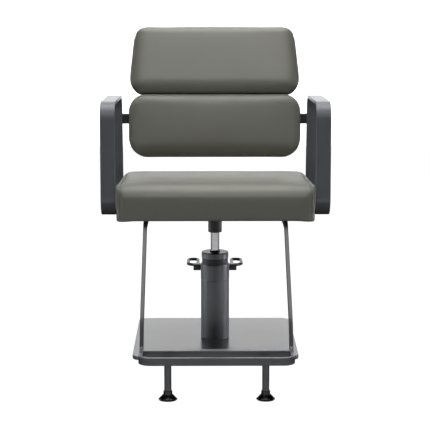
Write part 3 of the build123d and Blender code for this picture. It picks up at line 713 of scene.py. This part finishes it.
def back_seams(cushion, kind, low, high, turn):
    """A welt and a row of stitches round a back cushion, where its front cover meets its rear panel."""
    middle = (low + high) / 2
    ring = rounded_box(high[0] - middle[0], high[1] - middle[1], BACK_CORNER_RADIUS, BACK_RING_POINTS)

    def around(depth):
        outside, inside = [np.array([(x * size, middle[1] + up * size, low[2] + depth) for x, up in ring])
                           for size in (BACK_OUTSIDE, BACK_CORE)]
        return surface_line(cushion, outside @ turn, inside @ turn)

    welt_line = resampled(around(BACK_WELT_DEPTH), WELT_SPACING, True)
    welt = tube("back_welt_" + kind, welt_line, BACK_WELT_RADIUS, True, WELT_SIDES)
    finish_piece(welt, SEAT_BODY, grey_vinyl)
    sewing = stitches("back_stitches_" + kind, around(BACK_STITCH_DEPTH))
    finish_piece(sewing, SEAT_BODY, seam_thread)


def seat_cushion():
    """The seat: foam under a cover with a wrap-over centre panel and two side panels."""
    nodes = ["seat_cover", "seat_foam"]
    cushion = welded_union("seat_cushion", nodes + ["seat_board", "seat_bottom_cloth"])
    low, high = coords(cushion).min(axis=0), coords(cushion).max(axis=0)
    remeshed(cushion, SEAT_VOXEL, SEAT_SMOOTHING)
    set_coords(cushion, pulled_in(coords(cushion), low, high))
    underside = normals(cushion)[:, 2] < REAR_FACING
    inflate(cushion, underside, SEAT_CAP, SEAT_SPREADING, SEAT_SHARE, np.eye(3))
    points = filled_out(coords(cushion), low, high)
    depth, rise = [np.clip((points[:, axis] - low[axis]) / (high[axis] - low[axis]), 0, 1) for axis in (1, 2)]
    seat_surfaces(points, high, depth, rise)
    seat_sides(points, low, high, depth, rise)
    seam = bell(high[0] - SEAM_INSET - np.abs(points[:, 0]), SEAM_WIDTH)
    seam *= step(points[:, 2] - low[2], *SEAM_RISE)
    points -= normals(cushion) * (SEAM_GROOVE * seam)[:, None]
    set_coords(cushion, points)
    subdivided(cushion)
    finish_piece(cushion, SEAT_BODY, grey_vinyl, nodes)
    return cushion


def seat_surfaces(points, high, depth, rise):
    """Crowns the seat's top, lifts its rear and lets its bottom edge sag."""
    across = np.abs(points[:, 0]) / high[0]
    crown = SEAT_CROWN * (1 - across ** 4) * np.sin(np.pi * depth)
    points[:, 2] += step(rise, *TOP_PART) * (crown + REAR_RISE * step(depth, *RISE_PART))
    points[:, 2] -= BOTTOM_SAG * (1 - step(rise, *SAG_PART))


def seat_sides(points, low, high, depth, rise):
    """Fills the seat's sides out at the front, narrows its rear corners and lets its front corners droop."""
    side = step(np.abs(points[:, 0]), high[0] - SIDE_ZONE, high[0] - SIDE_START)
    wider = FRONT_WIDENING * (1 - step(depth, *WIDE_PART))
    narrower = REAR_NARROWING * step(depth, *CORNER_PART) * step(rise, *UPPER_PART)
    reach = np.abs(points[:, 0]) + side * (wider - narrower)
    over = np.maximum(reach - (high[0] - SIDE_SOFT_START), 0)
    reach += SIDE_SOFTNESS * (1 - np.exp(-over / SIDE_SOFTNESS)) - over
    points[:, 0] = np.sign(points[:, 0]) * reach
    corner = bell(high[0] - np.abs(points[:, 0]), CORNER_WIDTH) * bell(points[:, 1] - low[1], CORNER_DEPTH)
    points[:, 2] -= CORNER_DROOP * corner * (1 - step(rise, *DROOP_PART))


def seat_seams(cushion):
    """A welt and a row of stitches along each side of the seat, from under the front edge to the rear."""
    low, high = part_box("seat_cover")
    middle_y, middle_z = (low.y + high.y) / 2, low.z + SEAM_CENTRE

    def oval(x, half_y, half_z):
        return [(x, middle_y - half_y * math.cos(a), middle_z + half_z * math.sin(a)) for a in SEAM_TURNS]

    def along(x):
        return surface_line(cushion, oval(x, *SEAM_OUTSIDE), oval(x, *SEAM_CORE))

    for side, name in ((1, "left"), (-1, "right")):
        welt_line = resampled(along(side * (high.x - SEAM_INSET)), WELT_SPACING)
        welt = tube("seat_welt_" + name, welt_line, SEAT_WELT_RADIUS, sides=WELT_SIDES)
        finish_piece(welt, SEAT_BODY, grey_vinyl)
        sewing = stitches("seat_stitches_" + name, along(side * (high.x - SEAT_STITCH_INSET)))
        finish_piece(sewing, SEAT_BODY, seam_thread)


seat_seams(seat_cushion())
back_cushion("lower")
back_cushion("upper")


# ---------------------------------------------------------------- stage, light

CHAIR, PLATE = (0, 0, 0.6), (0, 0, 0.16)
SHEEN = "sheen_box"
LAMPS = (  # name, place, aim, size, watts, beam in degrees
    ("overhead", (0, 0, 3.0), CHAIR, (2.4, 2.0), 64, 180),
    ("softbox", (0, -2.2, 3.0), CHAIR, (2.4, 1.4), 8, 180),
    (SHEEN, (0, -2.2, 3.0), CHAIR, (2.4, 1.4), 62, 180),
    ("rear_light", (0, 2.2, 3.2), CHAIR, (2.8, 1.2), 18, 180),
    ("left_strip", (-2.5, 0.2, 0.2), PLATE, (0.6, 0.5), 0.3, 12),
    ("right_strip", (2.5, 0.2, 0.2), PLATE, (0.6, 0.5), 0.4, 12),
)
BANDS = (  # strength, then the ranges of the direction: axis, from and to, and the share of light at each
    (1.3, (("front", -0.9, 0.1, 1.0, 0.0), ("up", -0.6, -0.3, 0.0, 1.0), ("up", -0.3, -0.05, 1.0, 0.0))),
    (0.5, (("side", 0.5, 0.9, 0.0, 1.0), ("up", -0.3, -0.1, 0.0, 1.0), ("up", 0.05, 0.25, 1.0, 0.0))),
)


def emission(name, colour, strength):
    """A dull material that also glows white."""
    material = bpy.data.materials.new(name)
    material.use_nodes = True
    shader = material.node_tree.nodes["Principled BSDF"]
    shader.inputs["Base Color"].default_value = (*colour, 1)
    shader.inputs["Roughness"].default_value = 0.9
    shader.inputs["Emission Color"].default_value = (1, 1, 1, 1)
    shader.inputs["Emission Strength"].default_value = strength
    return material


def stage_plane(name, corners, material):
    """A flat piece of the studio that diffuse rays don't see."""
    plane = mesh_object(name, corners, [(0, 1, 2, 3)], smooth=False)
    dress(plane, material)
    plane.visible_diffuse = False
    return plane


def studio_planes():
    """The floor, the wall behind the chair, and a pale room behind them for views from other sides.

    The room is switched off for all rays but the camera's, yet with it the upper back cushion renders darker.
    """
    pale = emission("pale_floor", (0.16, 0.16, 0.16), 0.95)
    wall = emission("pale_wall", (0.05, 0.05, 0.05), 1.6)
    reach, back, height, half, gap = 9.0, 5.0, 4.5, 2.3, 0.1
    floor_corners = ((-reach, -reach, 0), (reach, -reach, 0), (reach, back, 0), (-reach, back, 0))
    floor = stage_plane("floor", floor_corners, pale)
    floor.visible_glossy = False
    wall_corners = ((-half, back, 0), (half, back, 0), (half, back, height), (-half, back, height))
    stage_plane("backdrop", wall_corners, wall)
    rim = [(-reach, -reach), (reach, -reach), (reach, back + gap), (-reach, back + gap)]
    room = [[(*rim[i - 1], 0), (*rim[i], 0), (*rim[i], reach), (*rim[i - 1], reach)] for i in range(4)]
    room.append([(x, y, reach) for x, y in rim])
    for i, corners in enumerate(room):
        side = stage_plane("room_%d" % i, corners, wall)
        for rays in ("glossy", "transmission", "shadow"):
            setattr(side, "visible_" + rays, False)


def area_light(name, place, aim, size, power, beam):
    """A rectangular lamp that the camera doesn't see; the sheen box shows only in reflections."""
    data = bpy.data.lights.new(name, "AREA")
    data.shape = "RECTANGLE"
    data.size, data.size_y = size
    data.energy = power
    data.spread = math.radians(beam)
    lamp = bpy.data.objects.new(name, data)
    SCENE.collection.objects.link(lamp)
    lamp.location = place
    lamp.rotation_euler = (Vector(aim) - Vector(place)).to_track_quat("-Z", "Y").to_euler()
    lamp.visible_camera = False
    lamp.visible_diffuse = name != SHEEN


def world_node(tree, kind, operation, *values):
    """Adds a node to the world, fills its first inputs, and gives its outputs."""
    made = tree.nodes.new(kind)
    if operation:
        made.operation = operation
    for socket, value in zip(made.inputs, values):
        if isinstance(value, bpy.types.NodeSocket):
            tree.links.new(value, socket)
        else:
            socket.default_value = value
    return made.outputs


def surroundings():
    """A dark room with a pale band low in front of the chair and a dimmer one at each side."""
    world = bpy.data.worlds.new("studio")
    world.use_nodes = True
    tree = world.node_tree
    direction = tree.nodes.new("ShaderNodeTexCoord").outputs["Generated"]
    across, front, up = world_node(tree, "ShaderNodeSeparateXYZ", None, direction)
    side = world_node(tree, "ShaderNodeMath", "ABSOLUTE", across)[0]
    axes = {"side": side, "front": front, "up": up}
    total = 0.0
    for strength, ranges in BANDS:
        level = strength
        for axis, *limits in ranges:
            share = world_node(tree, "ShaderNodeMapRange", None, axes[axis], *limits)[0]
            level = world_node(tree, "ShaderNodeMath", "MULTIPLY", share, level)[0]
        total = world_node(tree, "ShaderNodeMath", "ADD", level, total)[0]
    tree.links.new(total, tree.nodes["Background"].inputs["Color"])
    SCENE.world = world


def camera():
    """In front of the chair, a little higher than its back, looking down a little."""
    pitch, yaw = math.radians(9.31), math.radians(-0.434)
    data = bpy.data.cameras.new("camera")
    data.sensor_width = 36.0
    data.lens = 116.96
    data.clip_end = 50.0
    eye = bpy.data.objects.new("camera", data)
    SCENE.collection.objects.link(eye)
    eye.location = (-0.030, -3.962, 1.0195)
    eye.rotation_euler = (math.pi / 2 - pitch, 0, yaw)
    SCENE.camera = eye


camera()
studio_planes()
for lamp in LAMPS:
    area_light(*lamp)
surroundings()
SCENE.view_settings.view_transform = "Standard"
